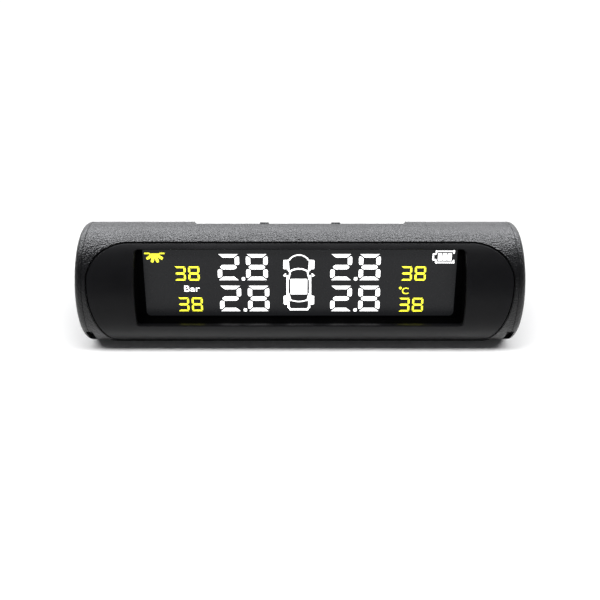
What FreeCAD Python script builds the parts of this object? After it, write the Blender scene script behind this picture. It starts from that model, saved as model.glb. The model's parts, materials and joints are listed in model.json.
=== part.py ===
import FreeCAD, Part
import math
import os

# Tyre pressure monitor for a dashboard: a tube-shaped display unit that lies on an adhesive pad.
# Millimetres. +X is the tube's length, -Y faces the driver, +Z is up, and the origin is on the
# surface it stands on, under the middle of the tube.
#
# Most pieces are drawn in the tube's own frame, with its axis at the origin and the display facing
# straight along -Y. to_car() then tips them back by DISPLAY_TILT and lifts them to AXIS_HEIGHT.
# Angles round the tube start at the display's normal and grow upwards and over the back.

Vector = FreeCAD.Vector
ORIGIN = Vector(0, 0, 0)
X_AXIS = Vector(1, 0, 0)
Y_AXIS = Vector(0, 1, 0)
Z_AXIS = Vector(0, 0, 1)

# ---- driving dimensions ----
TUBE_RADIUS = 16.0
TUBE_LENGTH = 115.0
DISPLAY_TILT = 8.0            # degrees that the display leans back
PAD_THICKNESS = 1.0
PAD_WIDTH = 10.0
PAD_SIDE_MARGIN = 3.0         # tube length left free at each end of the pad
PAD_CORNER = 4.0
BASE_FLAT_DEPTH = 0.8         # how much the flat underside is cut into the round

# ---- shells ----
FASCIA_WALL = 1.3
LEDGE_WALL = 0.8              # inner step of the housing that the fascia seats on
LEDGE_WIDTH = 0.9
SEAM = 0.3                    # gap all round the fascia
EDGE_STEP = 0.2               # rebate in the edges on both sides of that gap
TOUCH = 0.001
FIT = 0.1                     # clearance of pieces that slide or drop into each other
END_CAP_WALL = 2.0
END_CAP_ROUND = 1.7
END_CAP_SPIGOT = 4.0
SPIGOT_WALL = 1.2
END_GROOVE = 0.1              # chamfers on both sides of an end cap's seam

# ---- fascia outline, on the unrolled tube ----
FASCIA_TOP_ANGLE = 57.0       # the arc that it covers, above and below the display's normal
FASCIA_LOW_ANGLE = 60.0
FASCIA_SIDE_MARGIN = 3.3      # cheek left beside it at its widest
FASCIA_TOP_ROUND = 11.0
FASCIA_TAPER = 3.5            # how much narrower each side is at the bottom
FASCIA_LOW_ROUND = 3.0
LOW_ROUND_SAG = 0.3           # middle of that round, as a share of its radius
CORNER_POINTS = 7

# ---- display window and module, measured from the tube's axis ----
WINDOW_WIDTH = 84.6
WINDOW_TOP = 12.1
WINDOW_BOTTOM = -7.35
WINDOW_ROUND = 0.8
WINDOW_CHAMFER = 0.3
BEZEL_WALL = 1.3
BEZEL_LIP = 0.5
MASK_SIDE = 1.6               # black lip in front of the display, at the sides
MASK_LOW = 0.55
MASK_ROUND = 1.2
DISPLAY_DEPTH = 8.5           # front of the display module, ahead of the axis
GLASS_WIDTH = 84.0
GLASS_TOP = 11.8
GLASS_BOTTOM = -7.9
CONTACT_LEDGE = 2.3           # rear glass runs this much lower, for its contacts
POLARISER = 0.2
POLARISER_INSET = 0.3
GLASS = 0.7
SHEET = 0.2
LIGHT_GUIDE = 2.0
TRAY_FLOOR = 1.0
TRAY_WALL = 0.5
TRAY_CLEAR = 0.8              # tray to circuit board
MODULE_CLEAR = 0.15           # display module to the housing's ledge
LED_COUNT = 4
LED_SIZE = 1.6
LED_STRIP = 0.2
LED_REACH = 0.8               # strip and lamp together, up to the light guide
LED_SIDE = 0.1
LED_END = 0.4
TRAY_TOP_MARGIN = 0.3
PEG_RADIUS = 1.0
PEG_X = 38.0
PEG_HEIGHTS = (-5.0, 9.0)
CONNECTOR_HALF = 36.0
CONTACT_EDGE = 0.2

# ---- circuit board ----
BOARD = 1.2
BOARD_LENGTH = 100.0
BOARD_WIDE_LENGTH = 88.0
BOARD_TOP = 12.3
BOARD_BOTTOM = -10.8
BOARD_TAB_BOTTOM = -8.2
POST_RADIUS = 1.8
POST_X = 46.5
POST_HEIGHTS = (6.5, -5.5)
SCREW_RADIUS = 0.8
SCREW_HEAD_RADIUS = 1.5
SCREW_HEAD = 0.9
SCREW_GRIP = 4.0
SHORT_SCREW_GRIP = 2.5
PILOT_SPARE = 0.5             # pilot holes run this much past their screws
CROSS_SLOT = 0.35

# ---- solar panel ----
SOLAR_ANGLE = 131.0           # where the flat faces, round the tube
SOLAR_HALF_ANGLE = 40.0
SOLAR_FLAT_LENGTH = 57.2
SOLAR_LENGTH = 54.0
SOLAR_WIDTH = 18.0
SOLAR_GLASS = 0.6
SOLAR_CELL = 0.2
SOLAR_BACKING = 0.8
SOLAR_TAPE = 0.3
SOLAR_FLOOR = 1.0
SOLAR_BLOCK_WALL = 1.5
SOLAR_CELLS = 10
CELL_GAP = 0.5
CELL_MARGIN = 1.5
SOLAR_TAB_WIDTH = 2.4
SOLAR_TAB_X = 9.5
SOLAR_TAB_HEIGHT = 0.4
SOLAR_TAB_DEPTH = 0.9
SOLAR_TAB_ROOT = 0.2
POCKET_CORNER = 1.0
PANEL_CORNER = 0.9
TAPE_END_MARGIN = 5.0
TAPE_SIDE_MARGIN = 2.0
LEAD_RADIUS = 0.35
LEAD_PITCH = 0.9
LEAD_HOLE_RADIUS = 1.2
LEAD_HOLE_MARGIN = 1.6        # from the panel's right end
LEAD_BEND = 8.3               # where the panel's leads turn to the board, from the axis

# ---- buttons ----
BUTTON_ANGLE = 205.0
BUTTON_NAMES = ("left", "centre", "right")
BUTTON_PITCH = 11.0
BUTTON_RADIUS = 2.5
BUTTON_PROUD = 0.7
BUTTON_ROUND = 0.5
BUTTON_FLANGE = 0.6
BUTTON_FLANGE_RADIUS = 3.1
BUTTON_FLANGE_DROP = 0.6      # flange face below the inner wall
PLUNGER_RADIUS = 1.0
PLUNGER_DEPTH = 0.7
SWITCH_SIZE = 4.5
SWITCH_HEIGHT = 1.5
SWITCH_WELL = 1.2
SWITCH_GAP = 0.5              # flange to switch
BUTTON_BOARD = 1.0
BUTTON_BOARD_LENGTH = 40.0
BUTTON_BOARD_WIDTH = 7.6
BUTTON_BOARD_SCREW_X = 17.0

# ---- base ----
HATCH_END_MARGIN = 5.5
HATCH_WIDTH = 8.6
HATCH = 1.2
HATCH_SEAT = 1.0
HATCH_SCREW_MARGIN = 3.5
HATCH_END_SEAT = 7.0
HATCH_CORNER = 1.0
HATCH_BOSS_RADIUS = 2.1
HATCH_BOSS_TOP = 9.8          # below the axis
BASE_SCREW_RADIUS = 1.0
BASE_SCREW_HEAD_RADIUS = 1.9
BASE_SCREW_LENGTH = 4.0
BASE_SCREW_CROSS = 1.2
BASE_SCREW_CROSS_DEPTH = 0.4
PRY_SLOT_WIDTH = 1.8
PRY_SLOT_DEPTH = 1.3
PRY_SLOT_ANGLES = (-57.0, -37.0)

# ---- things on the board ----
BATTERY_SIZE = (40.0, 4.0, 15.0)
BATTERY_X = -26.0
BATTERY_FOAM = 1.3
BATTERY_ROUND = 1.0
BATTERY_LEAD_REACH = 2.0
BATTERY_LEAD_PITCH = 2.4
FOAM_END_MARGIN = 3.0
FOAM_SIDE_MARGIN = 2.0
CHIP_SIZE = (7.0, 1.2, 7.0)
CHIP_X, CHIP_Z = 3.0, 1.5
CHIP_PINS = 8
CHIP_PIN = 0.3
CHIP_PIN_HALF_LENGTH = 0.6
CHIP_PIN_REACH = 0.5
CHIP_STAND = 0.1
CHIP_PIN_THICKNESS = 0.2
RADIO_SIZE = (12.0, 0.8, 10.0)
RADIO_X, RADIO_Z = 18.0, 4.0
SHIELD_SIZE = (9.0, 1.3, 7.5)
CRYSTAL_SIZE = (8.0, 2.4, 3.4)
CRYSTAL_X, CRYSTAL_Z = 6.0, -6.0
BUZZER_RADIUS = 4.5
BUZZER_HEIGHT = 4.0
BUZZER_X, BUZZER_Z = 19.0, -6.0
BUZZER_HOLE = 0.9
BUZZER_HOLE_DEPTH = 1.0
COIL_RADIUS = 2.0
COIL_WIRE = 0.3
COIL_PITCH = 1.3
COIL_TURNS = 9
COIL_X, COIL_Z = 28.0, 4.0
COIL_STAND = 1.0              # coil to board
CRYSTAL_FLAT = 0.1
USB_SIZE = (6.0, 2.8, 7.6)
USB_SHELL = 0.3
USB_TONGUE = (4.4, 0.6, 4.0)
USB_Z = 0.0
USB_ROUND = 0.9
USB_INSET = 0.3               # mouth inside the end cap's face
USB_CLEAR = 0.2
USB_TAIL_HALF = 2.5
USB_TAIL = 0.5

# ---- worked out from the above ----
AXIS_HEIGHT = TUBE_RADIUS - BASE_FLAT_DEPTH + PAD_THICKNESS
HALF_LENGTH = TUBE_LENGTH / 2
SEAT_RADIUS = TUBE_RADIUS - FASCIA_WALL
INNER_RADIUS = SEAT_RADIUS - LEDGE_WALL
CAP_PLANE = HALF_LENGTH - END_CAP_WALL
FASCIA_HALF_WIDTH = HALF_LENGTH - FASCIA_SIDE_MARGIN
BASE_PLANE = TUBE_RADIUS - BASE_FLAT_DEPTH
SOLAR_PLANE = TUBE_RADIUS * math.cos(math.radians(SOLAR_HALF_ANGLE))
SOLAR_FLAT_HALF = TUBE_RADIUS * math.sin(math.radians(SOLAR_HALF_ANGLE))
SOLAR_POCKET = SOLAR_GLASS + SOLAR_CELL + SOLAR_BACKING + SOLAR_TAPE
SOLAR_BACKING_TOP = SOLAR_PLANE - SOLAR_GLASS - SOLAR_CELL
SOLAR_LEAD_X = SOLAR_LENGTH / 2 - LEAD_HOLE_MARGIN
HATCH_LENGTH = TUBE_LENGTH - 2 * HATCH_END_MARGIN
HATCH_SCREW_X = HATCH_LENGTH / 2 - HATCH_SCREW_MARGIN
BUTTON_FACE = INNER_RADIUS - BUTTON_FLANGE_DROP
SWITCH_TOP = BUTTON_FACE - BUTTON_FLANGE - SWITCH_GAP
BUTTON_BOARD_TOP = SWITCH_TOP - SWITCH_HEIGHT
FAR = 3 * TUBE_RADIUS

DEPTH_GLASS = DISPLAY_DEPTH - POLARISER
DEPTH_REAR_GLASS = DEPTH_GLASS - GLASS
DEPTH_REAR_POLARISER = DEPTH_REAR_GLASS - GLASS
DEPTH_DIFFUSER = DEPTH_REAR_POLARISER - POLARISER
DEPTH_GUIDE = DEPTH_DIFFUSER - SHEET
DEPTH_REFLECTOR = DEPTH_GUIDE - LIGHT_GUIDE
DEPTH_TRAY = DEPTH_REFLECTOR - SHEET
BOARD_FRONT = -(DEPTH_TRAY - TRAY_FLOOR - TRAY_CLEAR)
BOARD_BACK = BOARD_FRONT + BOARD
TRAY_TOP = GLASS_TOP + TRAY_TOP_MARGIN
GUIDE_TOP = TRAY_TOP - TRAY_WALL - FIT
GUIDE_BOTTOM = GLASS_BOTTOM
GUIDE_HALF = GLASS_WIDTH / 2 - FIT


# ---- helpers ----
def span_box(x0, x1, y0, y1, z0, z1):
    """A block between two values on each axis."""
    return Part.makeBox(x1 - x0, y1 - y0, z1 - z0, Vector(x0, y0, z0))


def centred_box(size, x, y0, z):
    """A block of a size, centred on x and z, that grows backwards from y0."""
    return span_box(x - size[0] / 2, x + size[0] / 2, y0, y0 + size[1], z - size[2] / 2, z + size[2] / 2)


def rod_x(radius, x0, x1):
    """A round bar along the tube's axis."""
    return Part.makeCylinder(radius, x1 - x0, Vector(x0, 0, 0), X_AXIS)


def rounded_plate(length, width, height, radius):
    """A flat plate in X and Y that grows up from zero, with rounded corners."""
    plate = span_box(-length / 2, length / 2, -width / 2, width / 2, 0, height)
    upright = [edge for edge in plate.Edges if edge.BoundBox.ZLength > height / 2]
    return plate.makeFillet(radius, upright)


def sector(low, high, half_length=FAR * 2):
    """A wedge from the axis outwards, between two angles round the tube."""
    middle = (low + high) / 2
    corners = [ORIGIN] + [round_point(FAR, angle) for angle in (low, middle, high)] + [ORIGIN]
    face = Part.Face(Part.makePolygon(corners))
    face.translate(Vector(-half_length, 0, 0))
    return face.extrude(Vector(2 * half_length, 0, 0))


def round_point(radius, angle, x=0.0):
    """A point at an angle round the tube."""
    turn = math.radians(angle)
    return Vector(x, -radius * math.cos(turn), radius * math.sin(turn))


def on_tube(shape, angle, x=0.0):
    """Moves a shape drawn about +Z, with X along the tube, so that +Z points out at an angle."""
    placed = shape.copy()
    placed.rotate(ORIGIN, X_AXIS, 90.0 - angle)
    placed.translate(Vector(x, 0, 0))
    return placed


def level(shape):
    """Tips a shape from the tube's frame to the level of the base, with the axis at the origin."""
    placed = shape.copy()
    placed.rotate(ORIGIN, X_AXIS, -DISPLAY_TILT)
    return placed


def lift(shape):
    """Lifts a level shape to its height over the surface."""
    placed = shape.copy()
    placed.translate(Vector(0, 0, AXIS_HEIGHT))
    return placed


def to_car(shape):
    """Tube frame to the part's own frame."""
    return lift(level(shape))


def fuse_all(shapes):
    """One clean solid from pieces that share walls."""
    joined = shapes[0].multiFuse(shapes[1:]) if len(shapes) > 1 else shapes[0]
    return joined.removeSplitter()


def screw(head_radius, head, radius, length):
    """A small cross-head screw along +Z: the head's top at zero, its point down."""
    cap = Part.makeCylinder(head_radius, head, Vector(0, 0, -head), Z_AXIS)
    shank = Part.makeCylinder(radius, length - radius, Vector(0, 0, -head - length + radius), Z_AXIS)
    point = Part.makeCone(0.2 * radius, radius, radius, Vector(0, 0, -head - length), Z_AXIS)
    body = fuse_all([cap, shank, point])
    arm = head_radius * 0.65
    for reach in ((arm, CROSS_SLOT / 2), (CROSS_SLOT / 2, arm)):
        body = body.cut(span_box(-reach[0], reach[0], -reach[1], reach[1], -head / 2, head))
    return body


def surface_edges(shape, half_x):
    """The edges that lie on the tube's round surface, no farther than half_x from its middle."""
    picked = []
    for edge in shape.Edges:
        places = edge.discretize(5)
        on_surface = all(abs(math.hypot(place.y, place.z) - TUBE_RADIUS) < TOUCH for place in places)
        if on_surface and all(abs(place.x) < half_x for place in places):
            picked.append(edge)
    return picked


def end_circles(shape, x):
    """The outer circles of the tube at a place along it, on either side of the middle."""
    return [edge for edge in shape.Edges if abs(abs(edge.BoundBox.XMin) - x) < TOUCH
            and edge.BoundBox.XLength < TOUCH and edge.BoundBox.YLength > 2 * TUBE_RADIUS - TOUCH]


def lead(places, radius):
    """An insulated wire through some places, with round bends."""
    stretches = []
    for start, end in zip(places, places[1:]):
        way = end - start
        stretches.append(Part.makeCylinder(radius, way.Length, start, way))
    bends = [Part.makeSphere(radius, place) for place in places[1:-1]]
    return to_car(fuse_all(stretches + bends))


# ---- the fascia's outline ----
def unrolled_to_front(x, arc):
    """A point of the unrolled tube, seen straight on from the front."""
    return Vector(x, 0, TUBE_RADIUS * math.sin(arc / TUBE_RADIUS))


def across(point):
    """The same point on the other half of the front view."""
    return Vector(-point.x, 0, point.z)


def tangent_arc_middle(start, end):
    """The middle of an arc that leaves its start straight down and ends farther in."""
    inwards = start.x - end.x
    drop = start.z - end.z
    radius = (inwards ** 2 + drop ** 2) / (2 * inwards)
    half_sweep = math.atan2(inwards, drop)
    middle_x = start.x - radius + radius * math.cos(half_sweep)
    return Vector(middle_x, 0, start.z - radius * math.sin(half_sweep))


def fascia_profile(grow=0.0):
    """The fascia's side and corner lines as a face; its straight top and bottom are left open."""
    arc_top = TUBE_RADIUS * math.radians(FASCIA_TOP_ANGLE) + grow
    arc_low = TUBE_RADIUS * math.radians(FASCIA_LOW_ANGLE) + grow
    half_width = FASCIA_HALF_WIDTH + grow
    radius = FASCIA_TOP_ROUND + grow
    low_radius = FASCIA_LOW_ROUND + grow
    low_half = half_width - FASCIA_TAPER
    corner = []
    for step in range(CORNER_POINTS):
        turn = math.radians(90.0 * step / (CORNER_POINTS - 1))
        corner.append(unrolled_to_front(half_width - radius + radius * math.sin(turn),
                                        arc_top - radius + radius * math.cos(turn)))
    side_top = corner[-1]
    side_end = unrolled_to_front(low_half, -arc_low + low_radius)
    side_mid = tangent_arc_middle(side_top, side_end)
    low_mid = unrolled_to_front(low_half - LOW_ROUND_SAG * low_radius, -arc_low + LOW_ROUND_SAG * low_radius)
    low_end = unrolled_to_front(low_half - low_radius, -arc_low)
    spline = Part.BSplineCurve()
    spline.interpolate(Points=corner, InitialTangent=X_AXIS, FinalTangent=-Z_AXIS)
    right = [spline.toShape(), Part.Arc(side_top, side_mid, side_end).toShape(),
             Part.Arc(side_end, low_mid, low_end).toShape()]
    left = [edge.mirror(ORIGIN, X_AXIS) for edge in right]
    top = Vector(corner[0].x, 0, FAR)
    bottom = Vector(low_end.x, 0, -FAR)
    frame = Part.makePolygon([corner[0], top, across(top), across(corner[0])]).Edges
    frame += Part.makePolygon([low_end, bottom, across(bottom), across(low_end)]).Edges
    wire = Part.Wire(Part.__sortEdges__(right + left + frame))
    return Part.Face(wire)


def fascia_block(grow=0.0):
    """All the space in front of the axis that lies behind the fascia's outline."""
    face = fascia_profile(grow)
    block = face.extrude(Vector(0, -FAR, 0))
    more = math.degrees(grow / TUBE_RADIUS)
    return block.common(sector(-FASCIA_LOW_ANGLE - more, FASCIA_TOP_ANGLE + more))


def window_block(depth_front, depth_back):
    """The display window's prism."""
    half = WINDOW_WIDTH / 2
    block = span_box(-half, half, -depth_front, -depth_back, WINDOW_BOTTOM, WINDOW_TOP)
    along = [edge for edge in block.Edges if edge.BoundBox.YLength > 1.0]
    return block.makeFillet(WINDOW_ROUND, along)


# ---- shells ----
def solar_block():
    """Solid seat for the solar panel, inside the housing."""
    floor = SOLAR_PLANE - SOLAR_POCKET - SOLAR_FLOOR
    half_x = SOLAR_FLAT_LENGTH / 2 + SOLAR_BLOCK_WALL
    half_y = SOLAR_FLAT_HALF + SOLAR_BLOCK_WALL
    block = span_box(-half_x, half_x, -half_y, half_y, floor, FAR)
    return on_tube(block, SOLAR_ANGLE).common(rod_x(SEAT_RADIUS, -HALF_LENGTH, HALF_LENGTH))


def make_housing():
    """Textured C-shaped shell with the panel seat, ledge, bosses and hatch opening."""
    shell = rod_x(TUBE_RADIUS, -CAP_PLANE, CAP_PLANE)
    shell = shell.makeChamfer(END_GROOVE, end_circles(shell, CAP_PLANE))
    shell = shell.cut(rod_x(INNER_RADIUS, -HALF_LENGTH, HALF_LENGTH))
    shell = shell.cut(fascia_block(SEAM).cut(rod_x(SEAT_RADIUS, -HALF_LENGTH, HALF_LENGTH)))
    rebate_floor = rod_x(TUBE_RADIUS - EDGE_STEP, -HALF_LENGTH, HALF_LENGTH)
    shell = shell.cut(fascia_block(SEAM + EDGE_STEP).cut(rebate_floor))
    shell = fuse_all([shell, solar_block()])
    shell = shell.cut(fascia_block(-LEDGE_WIDTH))

    flat_half = SOLAR_FLAT_LENGTH / 2
    facet = span_box(-flat_half, flat_half, -FAR, FAR, SOLAR_PLANE, FAR)
    shell = shell.cut(on_tube(facet, SOLAR_ANGLE))
    tabs = []
    for x in (-SOLAR_TAB_X, SOLAR_TAB_X):
        tab = span_box(-SOLAR_TAB_WIDTH / 2, SOLAR_TAB_WIDTH / 2, SOLAR_FLAT_HALF - SOLAR_TAB_DEPTH,
                       SOLAR_FLAT_HALF - FIT, SOLAR_PLANE - SOLAR_TAB_ROOT,
                       SOLAR_PLANE + SOLAR_TAB_HEIGHT)
        tab.rotate(ORIGIN, Z_AXIS, 180)
        tabs.append(on_tube(tab, SOLAR_ANGLE, x))
    shell = fuse_all([shell] + tabs)
    pocket = rounded_plate(SOLAR_LENGTH + 2 * FIT, SOLAR_WIDTH + 2 * FIT, FAR, POCKET_CORNER)
    pocket.translate(Vector(0, 0, SOLAR_PLANE - SOLAR_POCKET))
    shell = shell.cut(on_tube(pocket, SOLAR_ANGLE))
    lead_hole = Part.makeCylinder(LEAD_HOLE_RADIUS, FAR, ORIGIN, Z_AXIS)
    shell = shell.cut(on_tube(lead_hole, SOLAR_ANGLE, SOLAR_LEAD_X))

    relief_half = max(GLASS_WIDTH, WINDOW_WIDTH + 2 * BEZEL_WALL) / 2 + MODULE_CLEAR
    shell = shell.cut(span_box(-relief_half, relief_half, -FAR, 0, 0, GLASS_TOP + MODULE_CLEAR))

    bosses = []
    for x in (-BUTTON_BOARD_SCREW_X, BUTTON_BOARD_SCREW_X):
        height = INNER_RADIUS + LEDGE_WALL - BUTTON_BOARD_TOP
        boss = Part.makeCylinder(POST_RADIUS, height, Vector(0, 0, BUTTON_BOARD_TOP), Z_AXIS)
        bosses.append(on_tube(boss, BUTTON_ANGLE, x))
    shell = fuse_all([shell] + bosses)
    for index in range(len(BUTTON_NAMES)):
        hole = Part.makeCylinder(BUTTON_RADIUS + FIT, FAR, ORIGIN, Z_AXIS)
        shell = shell.cut(on_tube(hole, BUTTON_ANGLE, button_x(index)))
    for x in (-BUTTON_BOARD_SCREW_X, BUTTON_BOARD_SCREW_X):
        pilot = Part.makeCylinder(SCREW_RADIUS, SHORT_SCREW_GRIP + 2 * PILOT_SPARE,
                                  Vector(0, 0, BUTTON_BOARD_TOP - PILOT_SPARE), Z_AXIS)
        shell = shell.cut(on_tube(pilot, BUTTON_ANGLE, x))
    for side in (-1, 1):
        shell = shell.cut(pry_slot(side))

    shell = level(shell)
    shell = shell.cut(span_box(-FAR * 2, FAR * 2, -FAR, FAR, -FAR, -BASE_PLANE))
    seat_z = -BASE_PLANE + HATCH
    bosses = []
    for x in (-HATCH_SCREW_X, HATCH_SCREW_X):
        height = -HATCH_BOSS_TOP - seat_z
        bosses.append(Part.makeCylinder(HATCH_BOSS_RADIUS, height, Vector(x, 0, seat_z), Z_AXIS))
    shell = fuse_all([shell] + bosses)
    seat = rounded_plate(HATCH_LENGTH + 2 * FIT, HATCH_WIDTH + 2 * FIT, HATCH, HATCH_CORNER)
    seat.translate(Vector(0, 0, -BASE_PLANE))
    shell = shell.cut(seat)
    through_x = HATCH_LENGTH / 2 - HATCH_END_SEAT
    through_y = HATCH_WIDTH / 2 - HATCH_SEAT
    shell = shell.cut(span_box(-through_x, through_x, -through_y, through_y, -FAR, -HATCH_BOSS_TOP))
    for x in (-HATCH_SCREW_X, HATCH_SCREW_X):
        pilot = Part.makeCylinder(BASE_SCREW_RADIUS, BASE_SCREW_LENGTH, Vector(x, 0, seat_z - PILOT_SPARE),
                                  Z_AXIS)
        shell = shell.cut(pilot)
    return lift(shell)


def pry_slot(side):
    """Narrow slot across the seam of an end cap, low at the front, where a blade lifts the cap."""
    band = rod_x(FAR, CAP_PLANE - PRY_SLOT_WIDTH * 0.6, CAP_PLANE + PRY_SLOT_WIDTH * 0.4)
    band = band.cut(rod_x(TUBE_RADIUS - PRY_SLOT_DEPTH, -HALF_LENGTH * 2, HALF_LENGTH * 2))
    slot = band.common(sector(*PRY_SLOT_ANGLES))
    return slot if side > 0 else slot.mirror(ORIGIN, X_AXIS)


def make_end_cap(side):
    """Round cap with a spigot inside the tube; the right one has the charging opening."""
    disc = rod_x(TUBE_RADIUS, CAP_PLANE, HALF_LENGTH)
    rim = [edge for edge in disc.Edges if abs(edge.BoundBox.XMin - HALF_LENGTH) < 0.01
           and edge.BoundBox.YLength > TUBE_RADIUS]
    disc = disc.makeFillet(END_CAP_ROUND, rim)
    disc = disc.makeChamfer(END_GROOVE, end_circles(disc, CAP_PLANE))
    spigot = rod_x(INNER_RADIUS - FIT, CAP_PLANE - END_CAP_SPIGOT, CAP_PLANE)
    spigot = spigot.cut(rod_x(INNER_RADIUS - FIT - SPIGOT_WALL, 0, CAP_PLANE))
    cap = fuse_all([disc, spigot])
    cap = cap.cut(pry_slot(1))
    if side > 0:
        half = USB_SIZE[2] / 2 + USB_CLEAR
        opening = span_box(0, HALF_LENGTH * 2, BOARD_BACK - USB_CLEAR, BOARD_BACK + USB_SIZE[1] + USB_CLEAR,
                           USB_Z - half, USB_Z + half)
        cap = cap.cut(opening)
    else:
        cap = cap.mirror(ORIGIN, X_AXIS)
    cap = level(cap)
    cap = cap.cut(span_box(-FAR * 2, FAR * 2, -FAR, FAR, -FAR, -BASE_PLANE))
    return lift(cap)


def make_fascia():
    """Smooth black front panel with the display window and four posts for the board."""
    shell = rod_x(TUBE_RADIUS, -HALF_LENGTH, HALF_LENGTH)
    shell = shell.cut(rod_x(SEAT_RADIUS, -HALF_LENGTH * 2, HALF_LENGTH * 2))
    rebated = shell.common(rod_x(TUBE_RADIUS - EDGE_STEP, -HALF_LENGTH, HALF_LENGTH))
    plate = fuse_all([rebated.common(fascia_block(0.0)), shell.common(fascia_block(-EDGE_STEP))])
    plate = plate.cut(window_block(FAR, 0.0))
    plate = plate.makeChamfer(WINDOW_CHAMFER, surface_edges(plate, WINDOW_WIDTH / 2 + TOUCH))
    posts = []
    for x, z in board_screw_places():
        post = Part.makeCylinder(POST_RADIUS, FAR, Vector(x, BOARD_FRONT, z), -Y_AXIS)
        posts.append(post.common(rod_x(SEAT_RADIUS + FASCIA_WALL / 3, -HALF_LENGTH, HALF_LENGTH)))
    plate = fuse_all([plate] + posts)
    for x, z in board_screw_places():
        pilot = Part.makeCylinder(SCREW_RADIUS, SCREW_GRIP + PILOT_SPARE, Vector(x, BOARD_FRONT, z), -Y_AXIS)
        plate = plate.cut(pilot)
    return to_car(plate)


def board_screw_places():
    """Where the four board screws go, as x and height."""
    return [(x, z) for x in (-POST_X, POST_X) for z in POST_HEIGHTS]


def button_x(index):
    """A button's place along the tube; the driver's left is -X."""
    return (index - (len(BUTTON_NAMES) - 1) / 2) * BUTTON_PITCH


# ---- display ----
def make_bezel():
    """Black surround behind the window: walls at the sides and bottom, and a thin masking lip."""
    half = WINDOW_WIDTH / 2
    outer = span_box(-half - BEZEL_WALL, half + BEZEL_WALL, -FAR, -DISPLAY_DEPTH,
                     WINDOW_BOTTOM - BEZEL_WALL, GLASS_TOP)
    outer = outer.common(rod_x(SEAT_RADIUS, -HALF_LENGTH, HALF_LENGTH))
    hollow = span_box(-half, half, -FAR * 2, -DISPLAY_DEPTH - BEZEL_LIP, WINDOW_BOTTOM, FAR)
    low_edges = [edge for edge in hollow.Edges if edge.BoundBox.YLength > 1.0
                 and edge.BoundBox.ZMax < 0]
    outer = outer.cut(hollow.makeFillet(WINDOW_ROUND, low_edges))
    view_half = half - MASK_SIDE
    view = span_box(-view_half, view_half, -FAR, 0, WINDOW_BOTTOM + MASK_LOW, FAR)
    low_edges = [edge for edge in view.Edges if edge.BoundBox.YLength > 1.0 and edge.BoundBox.ZMax < 0]
    return to_car(outer.cut(view.makeFillet(MASK_ROUND, low_edges)))


def sheet_piece(depth, thickness, half, low, high):
    """A flat layer of the display whose front is at a depth ahead of the axis."""
    return to_car(span_box(-half, half, -depth, -depth + thickness, low, high))


def make_tray():
    """White tray that holds the light guide and stands on the board by four pegs."""
    half = GLASS_WIDTH / 2 + TRAY_WALL
    low = GUIDE_BOTTOM - FIT - TRAY_WALL
    block = span_box(-half, half, -DEPTH_DIFFUSER + SHEET, -DEPTH_TRAY + TRAY_FLOOR, low, TRAY_TOP)
    hollow = span_box(-half + TRAY_WALL, half - TRAY_WALL, -FAR, -DEPTH_TRAY,
                      low + TRAY_WALL, TRAY_TOP - TRAY_WALL)
    block = block.cut(hollow)
    pegs = []
    for x in (-PEG_X, PEG_X):
        for z in PEG_HEIGHTS:
            foot = Vector(x, BOARD_FRONT - TRAY_CLEAR, z)
            pegs.append(Part.makeCylinder(PEG_RADIUS, TRAY_CLEAR, foot, Y_AXIS))
    return to_car(fuse_all([block] + pegs))


def make_led_strip():
    """Flexible strip along the light guide's left edge, with its small lamps."""
    left = -GLASS_WIDTH / 2
    y0 = -DEPTH_GUIDE + LED_SIDE
    y1 = -DEPTH_REFLECTOR - LED_SIDE
    strip = span_box(left, left + LED_STRIP, y0, y1, GUIDE_BOTTOM + LED_END, GUIDE_TOP - LED_END)
    lamps = [strip]
    pitch = (GUIDE_TOP - GUIDE_BOTTOM) / LED_COUNT
    for index in range(LED_COUNT):
        z = GUIDE_BOTTOM + pitch * (index + 0.5)
        lamps.append(span_box(left + LED_STRIP, left + LED_REACH, y0, y1,
                              z - LED_SIZE / 2, z + LED_SIZE / 2))
    return to_car(fuse_all(lamps))


def display_layers():
    """The flat layers, front to back, as name and shape."""
    half = GLASS_WIDTH / 2
    guide_left = half - LED_REACH
    low = GLASS_BOTTOM
    layers = {
        "display_front_polariser": sheet_piece(DISPLAY_DEPTH, POLARISER, half - POLARISER_INSET,
                                               low + POLARISER_INSET, GLASS_TOP - POLARISER_INSET),
        "display_front_glass": sheet_piece(DEPTH_GLASS, GLASS, half, low, GLASS_TOP),
        "display_rear_glass": sheet_piece(DEPTH_REAR_GLASS, GLASS, half, low - CONTACT_LEDGE, GLASS_TOP),
        "display_rear_polariser": sheet_piece(DEPTH_REAR_POLARISER, POLARISER, half - POLARISER_INSET,
                                              low + POLARISER_INSET, GUIDE_TOP),
        "diffuser_sheet": sheet_piece(DEPTH_DIFFUSER, SHEET, GUIDE_HALF, GUIDE_BOTTOM, GUIDE_TOP),
        "reflector_sheet": sheet_piece(DEPTH_REFLECTOR, SHEET, GUIDE_HALF, GUIDE_BOTTOM, GUIDE_TOP),
    }
    guide = span_box(-guide_left, GUIDE_HALF, -DEPTH_GUIDE, -DEPTH_REFLECTOR, GUIDE_BOTTOM, GUIDE_TOP)
    layers["light_guide"] = to_car(guide)
    return layers


def make_display_connector():
    """Rubber contact strip between the rear glass's ledge and the board."""
    high = GLASS_BOTTOM - FIT - TRAY_WALL - FIT
    low = GLASS_BOTTOM - CONTACT_LEDGE + CONTACT_EDGE
    return to_car(span_box(-CONNECTOR_HALF, CONNECTOR_HALF, -DEPTH_REAR_POLARISER, BOARD_FRONT, low, high))


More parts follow.
